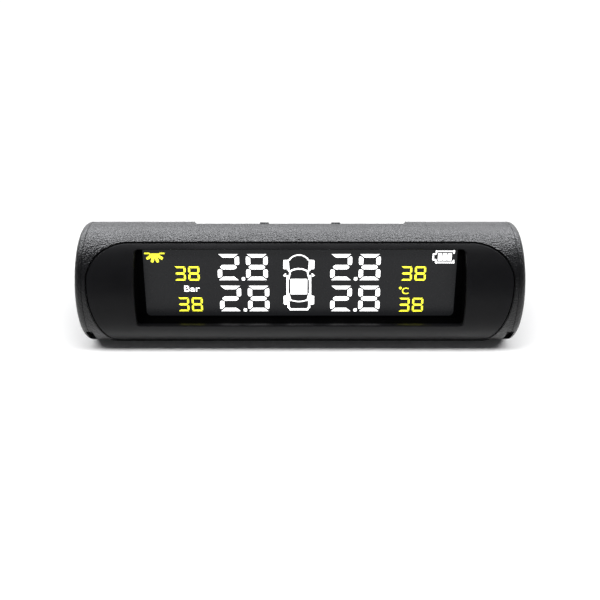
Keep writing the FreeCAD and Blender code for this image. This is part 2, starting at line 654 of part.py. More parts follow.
# ---- board and what is on it ----
def make_board():
    """Main circuit board: wide in the middle, with a tab at each end for its screws."""
    middle = span_box(-BOARD_WIDE_LENGTH / 2, BOARD_WIDE_LENGTH / 2, BOARD_FRONT, BOARD_BACK,
                      BOARD_BOTTOM, BOARD_TOP)
    tabs = span_box(-BOARD_LENGTH / 2, BOARD_LENGTH / 2, BOARD_FRONT, BOARD_BACK,
                    BOARD_TAB_BOTTOM, BOARD_TOP)
    board = fuse_all([middle, tabs])
    for x, z in board_screw_places():
        hole = Part.makeCylinder(SCREW_RADIUS + FIT, BOARD * 3, Vector(x, BOARD_FRONT - BOARD, z), Y_AXIS)
        board = board.cut(hole)
    return to_car(board)


def make_board_screws():
    """Four screws through the board into the fascia's posts."""
    group = []
    for x, z in board_screw_places():
        one = screw(SCREW_HEAD_RADIUS, SCREW_HEAD, SCREW_RADIUS, BOARD + SCREW_GRIP)
        one.rotate(ORIGIN, X_AXIS, -90)
        one.translate(Vector(x, BOARD_BACK + SCREW_HEAD, z))
        group.append(to_car(one))
    return Part.makeCompound(group)


def make_chip():
    """Controller chip with legs on two sides."""
    body = centred_box(CHIP_SIZE, CHIP_X, BOARD_BACK + CHIP_STAND, CHIP_Z)
    legs = [body]
    pitch = CHIP_SIZE[2] / (CHIP_PINS + 1)
    for side in (-1, 1):
        for index in range(CHIP_PINS):
            z = CHIP_Z - CHIP_SIZE[2] / 2 + pitch * (index + 1)
            x = CHIP_X + side * (CHIP_SIZE[0] / 2 + CHIP_PIN_REACH)
            legs.append(span_box(x - CHIP_PIN_HALF_LENGTH, x + CHIP_PIN_HALF_LENGTH,
                                 BOARD_BACK, BOARD_BACK + CHIP_PIN_THICKNESS,
                                 z - CHIP_PIN / 2, z + CHIP_PIN / 2))
    return to_car(fuse_all(legs))


def make_crystal():
    """Low metal can with rounded ends."""
    can = centred_box(CRYSTAL_SIZE, CRYSTAL_X, BOARD_BACK, CRYSTAL_Z)
    ends = [edge for edge in can.Edges if edge.BoundBox.YLength > 1.0]
    return to_car(can.makeFillet(CRYSTAL_SIZE[2] / 2 - CRYSTAL_FLAT, ends))


def make_buzzer():
    """Round sounder with a hole in its face."""
    can = Part.makeCylinder(BUZZER_RADIUS, BUZZER_HEIGHT, Vector(BUZZER_X, BOARD_BACK, BUZZER_Z), Y_AXIS)
    bottom = Vector(BUZZER_X, BOARD_BACK + BUZZER_HEIGHT - BUZZER_HOLE_DEPTH, BUZZER_Z)
    hole = Part.makeCylinder(BUZZER_HOLE, BUZZER_HOLE_DEPTH, bottom, Y_AXIS)
    return to_car(can.cut(hole))


def make_antenna():
    """Wire coil that stands along the board, with a leg soldered to the board."""
    helix = Part.makeHelix(COIL_PITCH, COIL_PITCH * COIL_TURNS, COIL_RADIUS)
    circle = Part.makeCircle(COIL_WIRE, Vector(COIL_RADIUS, 0, 0), Y_AXIS)
    coil = Part.Wire(helix).makePipeShell([Part.Wire(circle)], True, True)
    leg_length = COIL_RADIUS + COIL_STAND
    leg = Part.makeCylinder(COIL_WIRE, leg_length, Vector(COIL_RADIUS, -leg_length, 0), Y_AXIS)
    coil = coil.fuse(leg)
    coil.rotate(ORIGIN, Y_AXIS, 90)
    height = BOARD_BACK + leg_length
    coil.translate(Vector(COIL_X, height, COIL_Z + COIL_RADIUS))
    return to_car(coil)


def make_usb():
    """Charging socket on the board's right edge, open to the right, with its contact tongue."""
    right = HALF_LENGTH - USB_INSET
    size = USB_SIZE
    middle_y = BOARD_BACK + size[1] / 2
    shell = span_box(right - size[0], right, BOARD_BACK, BOARD_BACK + size[1],
                     USB_Z - size[2] / 2, USB_Z + size[2] / 2)
    edges = [edge for edge in shell.Edges if edge.BoundBox.XLength > 1.0]
    shell = shell.makeFillet(USB_ROUND, edges)
    hollow = span_box(right - size[0] + USB_SHELL, right + 1, BOARD_BACK + USB_SHELL,
                      BOARD_BACK + size[1] - USB_SHELL, USB_Z - size[2] / 2 + USB_SHELL,
                      USB_Z + size[2] / 2 - USB_SHELL)
    edges = [edge for edge in hollow.Edges if edge.BoundBox.XLength > 1.0]
    shell = shell.cut(hollow.makeFillet(USB_ROUND - USB_SHELL, edges))
    tongue = span_box(right - size[0] + USB_SHELL / 2, right - size[0] + USB_TONGUE[0],
                      middle_y - USB_TONGUE[1] / 2, middle_y + USB_TONGUE[1] / 2,
                      USB_Z - USB_TONGUE[2] / 2, USB_Z + USB_TONGUE[2] / 2)
    tail = span_box(BOARD_LENGTH / 2 - USB_TAIL_HALF, right - size[0] + USB_SHELL / 2,
                    BOARD_BACK, BOARD_BACK + USB_TAIL, USB_Z - USB_TAIL_HALF, USB_Z + USB_TAIL_HALF)
    return to_car(fuse_all([shell, tongue, tail]))


def make_battery():
    """Flat pouch cell, rounded along its length."""
    cell = centred_box(BATTERY_SIZE, BATTERY_X, BOARD_BACK + BATTERY_FOAM, 0.0)
    edges = [edge for edge in cell.Edges if edge.BoundBox.XLength > 10]
    return to_car(cell.makeFillet(BATTERY_ROUND, edges))


def make_battery_foam():
    """Foam tape between the battery and the board."""
    size = (BATTERY_SIZE[0] - 2 * FOAM_END_MARGIN, BATTERY_FOAM, BATTERY_SIZE[2] - 2 * FOAM_SIDE_MARGIN)
    return to_car(centred_box(size, BATTERY_X, BOARD_BACK, 0.0))


def make_battery_leads():
    """Two wires from the battery's right end, turned down to the board."""
    end_x = BATTERY_X + BATTERY_SIZE[0] / 2
    middle_y = BOARD_BACK + BATTERY_FOAM + BATTERY_SIZE[1] / 2
    group = []
    for z in (-BATTERY_LEAD_PITCH / 2, BATTERY_LEAD_PITCH / 2):
        bend = Vector(end_x + BATTERY_LEAD_REACH, middle_y, z)
        group.append(lead([Vector(end_x, middle_y, z), bend, Vector(bend.x, BOARD_BACK, z)], LEAD_RADIUS))
    return Part.makeCompound(group)


# ---- solar panel ----
def solar_layer(length, width, top, thickness):
    """A rounded flat layer of the panel whose outer face is at a distance from the axis."""
    plate = rounded_plate(length, width, thickness, PANEL_CORNER)
    plate.translate(Vector(0, 0, top - thickness))
    return to_car(on_tube(plate, SOLAR_ANGLE))


def make_solar_cells():
    """Row of cells with thin gaps, between the clear cover and the backing."""
    top = SOLAR_PLANE - SOLAR_GLASS
    width = (SOLAR_LENGTH - 2 * CELL_MARGIN + CELL_GAP) / SOLAR_CELLS - CELL_GAP
    group = []
    for index in range(SOLAR_CELLS):
        x = -SOLAR_LENGTH / 2 + CELL_MARGIN + index * (width + CELL_GAP)
        cell = span_box(x, x + width, -SOLAR_WIDTH / 2 + CELL_MARGIN, SOLAR_WIDTH / 2 - CELL_MARGIN,
                        top - SOLAR_CELL, top)
        group.append(to_car(on_tube(cell, SOLAR_ANGLE)))
    return Part.makeCompound(group)


def make_solar_leads():
    """Two wires from the panel's backing, through the hole in its seat, to the board."""
    group = []
    for x in (SOLAR_LEAD_X - LEAD_PITCH / 2, SOLAR_LEAD_X + LEAD_PITCH / 2):
        start = round_point(SOLAR_BACKING_TOP - SOLAR_BACKING, SOLAR_ANGLE, x)
        bend = round_point(LEAD_BEND, SOLAR_ANGLE, x)
        group.append(lead([start, bend, Vector(x, BOARD_BACK, bend.z)], LEAD_RADIUS))
    return Part.makeCompound(group)


def solar_pieces():
    """The panel's layers and leads, as name and shape."""
    tape_length = SOLAR_LENGTH - 2 * TAPE_END_MARGIN
    tape_width = SOLAR_WIDTH - 2 * TAPE_SIDE_MARGIN
    tape_top = SOLAR_BACKING_TOP - SOLAR_BACKING
    return {
        "solar_cover": solar_layer(SOLAR_LENGTH, SOLAR_WIDTH, SOLAR_PLANE, SOLAR_GLASS),
        "solar_cells": make_solar_cells(),
        "solar_backing": solar_layer(SOLAR_LENGTH, SOLAR_WIDTH, SOLAR_BACKING_TOP, SOLAR_BACKING),
        "solar_tape": solar_layer(tape_length, tape_width, tape_top, SOLAR_TAPE),
        "solar_leads": make_solar_leads(),
    }


# ---- buttons ----
def make_button(index):
    """Round rubber-feel cap with a wide foot that keeps it in the housing."""
    outer = TUBE_RADIUS + BUTTON_PROUD
    stem = Part.makeCylinder(BUTTON_RADIUS, outer - BUTTON_FACE, Vector(0, 0, BUTTON_FACE), Z_AXIS)
    crown = [edge for edge in stem.Edges if abs(edge.BoundBox.ZMin - outer) < 0.01
             and edge.BoundBox.XLength > BUTTON_RADIUS]
    stem = stem.makeFillet(BUTTON_ROUND, crown)
    foot = Part.makeCylinder(BUTTON_FLANGE_RADIUS, BUTTON_FLANGE,
                             Vector(0, 0, BUTTON_FACE - BUTTON_FLANGE), Z_AXIS)
    return to_car(on_tube(fuse_all([stem, foot]), BUTTON_ANGLE, button_x(index)))


def make_plunger(index):
    """The switch's own pin, under the cap."""
    length = SWITCH_GAP + PLUNGER_DEPTH
    pin = Part.makeCylinder(PLUNGER_RADIUS, length, Vector(0, 0, SWITCH_TOP - PLUNGER_DEPTH), Z_AXIS)
    return to_car(on_tube(pin, BUTTON_ANGLE, button_x(index)))


def make_switches():
    """Three switch bodies, each with a well for its plunger."""
    group = []
    half = SWITCH_SIZE / 2
    for index in range(len(BUTTON_NAMES)):
        body = span_box(-half, half, -half, half, BUTTON_BOARD_TOP, SWITCH_TOP)
        well = Part.makeCylinder(PLUNGER_RADIUS + FIT, FAR, Vector(0, 0, SWITCH_TOP - SWITCH_WELL), Z_AXIS)
        group.append(to_car(on_tube(body.cut(well), BUTTON_ANGLE, button_x(index))))
    return Part.makeCompound(group)


def make_button_board():
    """Small board that carries the three switches."""
    half_x, half_y = BUTTON_BOARD_LENGTH / 2, BUTTON_BOARD_WIDTH / 2
    board = span_box(-half_x, half_x, -half_y, half_y, BUTTON_BOARD_TOP - BUTTON_BOARD, BUTTON_BOARD_TOP)
    for x in (-BUTTON_BOARD_SCREW_X, BUTTON_BOARD_SCREW_X):
        hole = Part.makeCylinder(SCREW_RADIUS + FIT, FAR, Vector(x, 0, 0), Z_AXIS)
        board = board.cut(hole)
    return to_car(on_tube(board, BUTTON_ANGLE))


def make_button_board_screws():
    """Two screws from inside, through the small board into the housing's bosses."""
    group = []
    for x in (-BUTTON_BOARD_SCREW_X, BUTTON_BOARD_SCREW_X):
        one = screw(SCREW_HEAD_RADIUS, SCREW_HEAD, SCREW_RADIUS, BUTTON_BOARD + SHORT_SCREW_GRIP)
        one.rotate(ORIGIN, X_AXIS, 180)
        one.translate(Vector(0, 0, BUTTON_BOARD_TOP - BUTTON_BOARD - SCREW_HEAD))
        group.append(to_car(on_tube(one, BUTTON_ANGLE, x)))
    return Part.makeCompound(group)


# ---- base ----
def make_hatch():
    """Base cover, flush in the flat underside, with two countersunk holes."""
    plate = rounded_plate(HATCH_LENGTH, HATCH_WIDTH, HATCH, HATCH_CORNER)
    plate.translate(Vector(0, 0, -BASE_PLANE))
    for x in (-HATCH_SCREW_X, HATCH_SCREW_X):
        plate = plate.cut(base_screw_envelope(x))
    return lift(plate)


def base_screw_envelope(x):
    """The space that a base screw takes in the cover."""
    depth = BASE_SCREW_HEAD_RADIUS - BASE_SCREW_RADIUS
    foot = Vector(x, 0, -BASE_PLANE)
    cone = Part.makeCone(BASE_SCREW_HEAD_RADIUS, BASE_SCREW_RADIUS, depth, foot, Z_AXIS)
    return cone.fuse(Part.makeCylinder(BASE_SCREW_RADIUS, BASE_SCREW_LENGTH, foot, Z_AXIS))


def make_base_screws():
    """Two countersunk screws from below, into the housing's bosses."""
    group = []
    slot_top = -BASE_PLANE + BASE_SCREW_CROSS_DEPTH
    for x in (-HATCH_SCREW_X, HATCH_SCREW_X):
        one = base_screw_envelope(x).removeSplitter()
        for reach in ((BASE_SCREW_CROSS, CROSS_SLOT / 2), (CROSS_SLOT / 2, BASE_SCREW_CROSS)):
            one = one.cut(span_box(x - reach[0], x + reach[0], -reach[1], reach[1], -FAR, slot_top))
        group.append(lift(one))
    return Part.makeCompound(group)


def make_pad():
    """Double-sided adhesive pad that the unit lies on."""
    plate = rounded_plate(TUBE_LENGTH - 2 * PAD_SIDE_MARGIN, PAD_WIDTH, PAD_THICKNESS, PAD_CORNER)
    return plate


def main():
    """Builds every piece and writes one file for each."""
    pieces = {
        "housing": make_housing(),
        "left_end_cap": make_end_cap(-1),
        "right_end_cap": make_end_cap(1),
        "front_fascia": make_fascia(),
        "display_bezel": make_bezel(),
        "display_tray": make_tray(),
        "backlight_strip": make_led_strip(),
        "display_connector": make_display_connector(),
        "main_board": make_board(),
        "board_screws": make_board_screws(),
        "controller_chip": make_chip(),
        "radio_module": to_car(centred_box(RADIO_SIZE, RADIO_X, BOARD_BACK, RADIO_Z)),
        "radio_shield": to_car(centred_box(SHIELD_SIZE, RADIO_X, BOARD_BACK + RADIO_SIZE[1], RADIO_Z)),
        "crystal": make_crystal(),
        "buzzer": make_buzzer(),
        "antenna_coil": make_antenna(),
        "charging_socket": make_usb(),
        "battery": make_battery(),
        "battery_foam": make_battery_foam(),
        "battery_leads": make_battery_leads(),
        "switches": make_switches(),
        "button_board": make_button_board(),
        "button_board_screws": make_button_board_screws(),
        "base_cover": make_hatch(),
        "base_screws": make_base_screws(),
        "adhesive_pad": make_pad(),
    }
    pieces.update(display_layers())
    pieces.update(solar_pieces())
    for index, name in enumerate(BUTTON_NAMES):
        pieces[name + "_button"] = make_button(index)
        pieces[name + "_plunger"] = make_plunger(index)

    os.makedirs("parts", exist_ok=True)
    for name, shape in pieces.items():
        shape.exportStep("parts/" + name + ".step")
        print(name, len(shape.Solids), "solids", "valid", shape.isValid(), "volume", round(shape.Volume, 2))


main()
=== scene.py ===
"""Looks of a tube-shaped tyre pressure monitor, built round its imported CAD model.

The CAD pieces keep their shapes and get procedural finishes. The lit picture of the display, which
has no solids of its own, is modelled here on the display's plane. Lengths of the picture are in
millimetres until a piece is put in its place; everything else is in metres.
"""

import json
import logging
import math
from dataclasses import dataclass, field
from enum import Enum
from typing import Callable, Mapping, Sequence, Union

import bmesh
import bpy
from mathutils import Matrix, Vector


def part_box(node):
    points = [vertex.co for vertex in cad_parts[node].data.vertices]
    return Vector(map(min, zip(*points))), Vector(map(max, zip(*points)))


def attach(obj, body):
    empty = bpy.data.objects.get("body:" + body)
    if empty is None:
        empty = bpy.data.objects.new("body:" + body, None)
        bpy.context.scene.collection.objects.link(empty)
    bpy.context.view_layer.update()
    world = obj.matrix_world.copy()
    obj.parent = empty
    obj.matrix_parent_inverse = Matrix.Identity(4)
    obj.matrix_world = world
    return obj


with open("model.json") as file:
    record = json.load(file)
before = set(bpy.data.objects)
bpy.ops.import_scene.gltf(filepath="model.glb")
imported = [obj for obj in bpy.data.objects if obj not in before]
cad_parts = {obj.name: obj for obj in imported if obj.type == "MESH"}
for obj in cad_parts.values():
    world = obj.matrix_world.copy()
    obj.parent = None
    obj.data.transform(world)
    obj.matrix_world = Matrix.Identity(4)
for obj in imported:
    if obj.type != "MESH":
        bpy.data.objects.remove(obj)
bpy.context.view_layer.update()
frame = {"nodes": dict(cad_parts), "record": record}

LOG = logging.getLogger("monitor")
BODY = "monitor"
MM = 0.001
Colour = tuple[float, float, float]
Value = Union["Socket", float, Sequence[float]]


# ---------------------------------------------------------------- shader maths
class Socket:
    """An output of a node, on which Python's operators add Math nodes."""

    def __init__(self, graph: "Graph", socket: bpy.types.NodeSocket) -> None:
        """Wraps one output socket of a graph."""
        self.graph = graph
        self.socket = socket

    def _math(self, operation: str, first: Value, second: Value) -> "Socket":
        """Adds one Math node on two values."""
        return self.graph.add("ShaderNodeMath", {"operation": operation}, {0: first, 1: second})

    def __add__(self, other: Value) -> "Socket":
        """self + other"""
        return self._math("ADD", self, other)

    def __radd__(self, other: Value) -> "Socket":
        """other + self"""
        return self._math("ADD", other, self)

    def __sub__(self, other: Value) -> "Socket":
        """self - other"""
        return self._math("SUBTRACT", self, other)

    def __rsub__(self, other: Value) -> "Socket":
        """other - self"""
        return self._math("SUBTRACT", other, self)

    def __mul__(self, other: Value) -> "Socket":
        """self * other"""
        return self._math("MULTIPLY", self, other)

    def __rmul__(self, other: Value) -> "Socket":
        """other * self"""
        return self._math("MULTIPLY", other, self)

    def __gt__(self, other: Value) -> "Socket":
        """1 where self is above other, else 0"""
        return self._math("GREATER_THAN", self, other)

    def __lt__(self, other: Value) -> "Socket":
        """1 where self is below other, else 0"""
        return self._math("LESS_THAN", self, other)

    def __abs__(self) -> "Socket":
        """The value without its sign"""
        return self._math("ABSOLUTE", self, 0.0)

    def wrapped(self, period: float) -> "Socket":
        """The rest after division by a period, never negative."""
        return self._math("FLOORED_MODULO", self, period)


class Graph:
    """The node tree of one material, with a Principled shader as its surface."""

    def __init__(self, name: str) -> None:
        """Makes an empty material with its output and shader."""
        self.material = bpy.data.materials.new(name)
        self.material.use_nodes = True
        self.tree = self.material.node_tree
        self.tree.nodes.clear()
        self.shader = self.tree.nodes.new("ShaderNodeBsdfPrincipled")
        self.output = self.tree.nodes.new("ShaderNodeOutputMaterial")
        self.tree.links.new(self.shader.outputs[0], self.output.inputs["Surface"])

    def add(self, kind: str, settings: Mapping[str, object] | None = None,
            inputs: Mapping[Union[int, str], Value] | None = None, output: Union[int, str] = 0) -> Socket:
        """Adds any node.

        Args:
            kind: The node's type.
            settings: Its properties, set first.
            inputs: Values or links of its sockets, by name or number.
            output: The output wanted.

        Returns:
            That output.
        """
        node = self.tree.nodes.new(kind)
        for key, value in (settings or {}).items():
            setattr(node, key, value)
        for key, value in (inputs or {}).items():
            self.feed(node.inputs[key], value)
        return Socket(self, node.outputs[output])

    def feed(self, target: bpy.types.NodeSocket, value: Value) -> None:
        """Links a socket to a value's output, or sets it to a plain value."""
        if isinstance(value, Socket):
            self.tree.links.new(value.socket, target)
        elif isinstance(value, (int, float)):
            target.default_value = value
        else:
            wide = len(target.default_value)
            target.default_value = tuple(value) + (1.0,) * (wide - len(value))

    def place(self) -> Socket:
        """The surface point in the object's own coordinates."""
        return self.add("ShaderNodeTexCoord", output="Object")

    def split(self, vector: Socket) -> tuple[Socket, Socket, Socket]:
        """A vector's three numbers."""
        first = self.add("ShaderNodeSeparateXYZ", {}, {0: vector})
        outputs = first.socket.node.outputs
        return Socket(self, outputs[0]), Socket(self, outputs[1]), Socket(self, outputs[2])

    def noise(self, size: float, detail: float = 2.0, rough: float = 0.5,
              vector: Socket | None = None) -> Socket:
        """Soft noise from 0 to 1.

        Args:
            size: The grain's size in metres.
            detail: How many finer layers it has.
            rough: How strong they are.
            vector: Where it is read, by default the object's own coordinates.

        Returns:
            The noise's strength.
        """
        return self.add("ShaderNodeTexNoise", {"noise_dimensions": "3D"},
                        {"Vector": vector or self.place(), "Scale": 1.0 / size, "Detail": detail,
                         "Roughness": rough}, "Fac")

    def span(self, value: Socket, low: float, high: float, start: float = 0.0, end: float = 1.0) -> Socket:
        """Maps a value between two limits, without leaving them."""
        return self.add("ShaderNodeMapRange", {"clamp": True},
                        {"Value": value, "From Min": start, "From Max": end, "To Min": low, "To Max": high})

    def blend(self, amount: Value, first: Value, second: Value) -> Socket:
        """Mixes two colours."""
        return self.add("ShaderNodeMix", {"data_type": "RGBA", "clamp_factor": True},
                        {"Factor": amount, 6: first, 7: second}, 2)

    def bump(self, height: Socket, depth: float, normal: Socket | None = None) -> Socket:
        """A normal from a height of 0 to 1 that stands for a depth in metres."""
        inputs: dict[Union[int, str], Value] = {"Height": height, "Distance": depth, "Strength": 1.0}
        if normal is not None:
            inputs["Normal"] = normal
        return self.add("ShaderNodeBump", {}, inputs)

    def soft_edges(self, radius: float) -> Socket:
        """A normal that rounds sharp edges over a small radius."""
        return self.add("ShaderNodeBevel", {"samples": 4}, {"Radius": radius})

    def surface(self, **sockets: Value) -> bpy.types.Material:
        """Feeds the shader; underscores in the names stand for spaces.

        Returns:
            The finished material.
        """
        for name, value in sockets.items():
            self.feed(self.shader.inputs[name.replace("_", " ")], value)
        return self.material


# ---------------------------------------------------------------- finishes
@dataclass(frozen=True)
class Moulded:
    """Moulded plastic or rubber with a grain and a slight unevenness of tone."""

    name: str
    colour: Colour
    roughness: float
    grain: float = 0.0004
    depth: float = 0.00001
    unevenness: float = 0.15
    specular: float = 0.5
    edge: float = 0.00012
    cloud: float = 0.012
    swing: float = 0.06

    def build(self) -> bpy.types.Material:
        """Makes the material."""
        graph = Graph(self.name)
        cloud = graph.noise(self.cloud, 3.0)
        grain = graph.noise(self.grain, 3.0, 0.6)
        pits = graph.add("ShaderNodeTexVoronoi", {"feature": "F1"},
                         {"Vector": graph.place(), "Scale": 1.0 / self.grain}, "Distance")
        height = grain * 0.6 + pits * 0.5
        dark = tuple(channel * (1.0 - self.unevenness) for channel in self.colour)
        light = tuple(channel * (1.0 + self.unevenness) for channel in self.colour)
        tone = graph.blend(graph.span(cloud, 0.0, 1.0, 0.3, 0.7), dark, light)
        rough = graph.span(grain + cloud, self.roughness - self.swing, self.roughness + self.swing, 0.7, 1.3)
        normal = graph.bump(height, self.depth, graph.soft_edges(self.edge))
        return graph.surface(Base_Color=tone, Roughness=rough, Normal=normal,
                             Specular_IOR_Level=self.specular)


@dataclass(frozen=True)
class Metal:
    """Plated or drawn metal with fine lines along X."""

    name: str
    colour: Colour
    roughness: float
    line: float = 0.00006
    stain: float = 0.003
    dulling: float = 0.8

    def build(self) -> bpy.types.Material:
        """Makes the material."""
        graph = Graph(self.name)
        stretched = graph.add("ShaderNodeMapping", {}, {"Vector": graph.place(), "Scale": (0.08, 1.0, 1.0)})
        lines = graph.noise(self.line * 4, 2.0, 0.5, stretched)
        stain = graph.noise(self.stain, 3.0)
        dull = tuple(channel * self.dulling for channel in self.colour)
        tone = graph.blend(graph.span(stain, 0.0, 1.0, 0.35, 0.7), self.colour, dull)
        rough = graph.span(lines + stain, self.roughness - 0.08, self.roughness + 0.1, 0.7, 1.3)
        return graph.surface(Base_Color=tone, Roughness=rough, Metallic=1.0,
                             Normal=graph.bump(lines, 0.000004, graph.soft_edges(0.00008)))


@dataclass(frozen=True)
class Clear:
    """Clear glass, film or acrylic, with faint smears in its polish."""

    name: str
    tint: Colour
    roughness: float
    transmission: float = 0.9
    index: float = 1.5
    smear: float = 0.006
    haze: float = 0.03

    def build(self) -> bpy.types.Material:
        """Makes the material."""
        graph = Graph(self.name)
        smear = graph.noise(self.smear, 4.0, 0.6)
        worn = tuple(channel * 0.92 for channel in self.tint)
        tone = graph.blend(smear, self.tint, worn)
        rough = graph.span(smear, self.roughness, self.roughness + self.haze, 0.4, 0.75)
        return graph.surface(Base_Color=tone, Roughness=rough, Transmission_Weight=self.transmission,
                             IOR=self.index, Normal=graph.soft_edges(0.00006))


@dataclass(frozen=True)
class Laminate:
    """Circuit board: a green mask over woven laminate, with tracks under it."""

    name: str
    mask: Colour
    track: Colour
    pitch: float = 0.0012

    def build(self) -> bpy.types.Material:
        """Makes the material."""
        graph = Graph(self.name)
        x, _, z = graph.split(graph.place())
        wander = graph.noise(0.006, 1.0)
        cell = (x + wander * 0.004).wrapped(self.pitch)
        rows = (z + wander * 0.003).wrapped(self.pitch * 2)
        tracks = (cell < self.pitch * 0.3) * (graph.noise(0.004, 0.0) > 0.5)
        pads = (rows < self.pitch * 0.35) * (graph.noise(0.005, 0.0) < 0.42)
        copper = graph.span(tracks + pads, 0.0, 1.0)
        weave = abs(x.wrapped(0.0004) - 0.0002) + abs(z.wrapped(0.0004) - 0.0002)
        tone = graph.blend(copper, self.mask, self.track)
        rough = graph.span(graph.noise(0.002, 2.0), 0.28, 0.42, 0.3, 0.7)
        return graph.surface(Base_Color=tone, Roughness=rough,
                             Normal=graph.bump(copper * 0.8 + weave * 400.0, 0.00002))


@dataclass(frozen=True)
class SolarCell:
    """Dark crystalline cell with fine silver fingers along the tube and one busbar across them."""

    name: str
    deep: Colour
    pale: Colour
    silver: Colour
    finger_pitch: float = 0.0013

    def build(self) -> bpy.types.Material:
        """Makes the material."""
        graph = Graph(self.name)
        x, y, _ = graph.split(graph.place())
        crystal = graph.add("ShaderNodeTexVoronoi", {"feature": "F1"},
                            {"Vector": graph.place(), "Scale": 350.0}, "Color")
        shade = graph.add("ShaderNodeSeparateColor", {}, {0: crystal})
        ground = graph.blend(shade * 0.6, self.deep, self.pale)
        fingers = y.wrapped(self.finger_pitch) < self.finger_pitch * 0.1
        tone = graph.blend(graph.span(fingers, 0.0, 0.8), ground, self.silver)
        rough = graph.span(shade, 0.22, 0.34)
        return graph.surface(Base_Color=tone, Roughness=rough, Specular_IOR_Level=0.1,
                             Normal=graph.bump(fingers, 0.00001))


@dataclass(frozen=True)
class Foil:
    """Crinkled foil pouch."""

    name: str
    colour: Colour

    def build(self) -> bpy.types.Material:
        """Makes the material."""
        graph = Graph(self.name)
        folds = graph.add("ShaderNodeTexVoronoi", {"feature": "DISTANCE_TO_EDGE"},
                          {"Vector": graph.place(), "Scale": 260.0}, "Distance")
        dull = tuple(channel * 0.75 for channel in self.colour)
        tone = graph.blend(graph.noise(0.004, 3.0), self.colour, dull)
        rough = graph.span(graph.noise(0.002), 0.3, 0.5, 0.3, 0.7)
        return graph.surface(Base_Color=tone, Roughness=rough, Metallic=0.9,
                             Normal=graph.bump(folds, 0.00008))


@dataclass(frozen=True)
class BandedRubber:
    """Contact rubber with thin conducting bands across it."""

    name: str
    dark: Colour
    pale: Colour
    pitch: float = 0.0004

    def build(self) -> bpy.types.Material:
        """Makes the material."""
        graph = Graph(self.name)
        x, _, _ = graph.split(graph.place())
        bands = x.wrapped(self.pitch) < self.pitch * 0.5
        tone = graph.blend(bands, self.dark, self.pale)
        return graph.surface(Base_Color=tone, Roughness=graph.span(graph.noise(0.001), 0.6, 0.8),
                             Normal=graph.bump(bands, 0.00001))


@dataclass(frozen=True)
class DisplayFace:
    """Dark front of the display, a little lifted by light that leaks through it."""

    name: str
    colour: Colour
    leak: Colour
    roughness: float = 0.3

    def build(self) -> bpy.types.Material:
        """Makes the material."""
        graph = Graph(self.name)
        cloud = graph.noise(0.03, 2.0)
        fine = graph.noise(0.0005, 1.0)
        dim = tuple(channel * 0.8 for channel in self.leak)
        leak = graph.blend(graph.span(cloud, 0.0, 1.0, 0.3, 0.7), dim, self.leak)
        deep = tuple(channel * 0.85 for channel in self.colour)
        tone = graph.blend(fine, deep, self.colour)
        rough = graph.span(fine, self.roughness - 0.03, self.roughness + 0.03, 0.3, 0.7)
        return graph.surface(Base_Color=tone, Roughness=rough, Emission_Color=leak,
                             Emission_Strength=1.0, Specular_IOR_Level=0.2)


@dataclass(frozen=True)
class LitInk:
    """A lit part of the picture, slightly uneven as a backlight is."""

    name: str
    colour: Colour
    strength: float

    def build(self) -> bpy.types.Material:
        """Makes the material."""
        graph = Graph(self.name)
        cloud = graph.noise(0.004, 2.0)
        dim = tuple(channel * 0.93 for channel in self.colour)
        glow = graph.blend(graph.span(cloud, 0.0, 1.0, 0.35, 0.65), dim, self.colour)
        return graph.surface(Base_Color=glow, Roughness=graph.span(cloud, 0.35, 0.45),
                             Emission_Color=glow, Emission_Strength=self.strength)


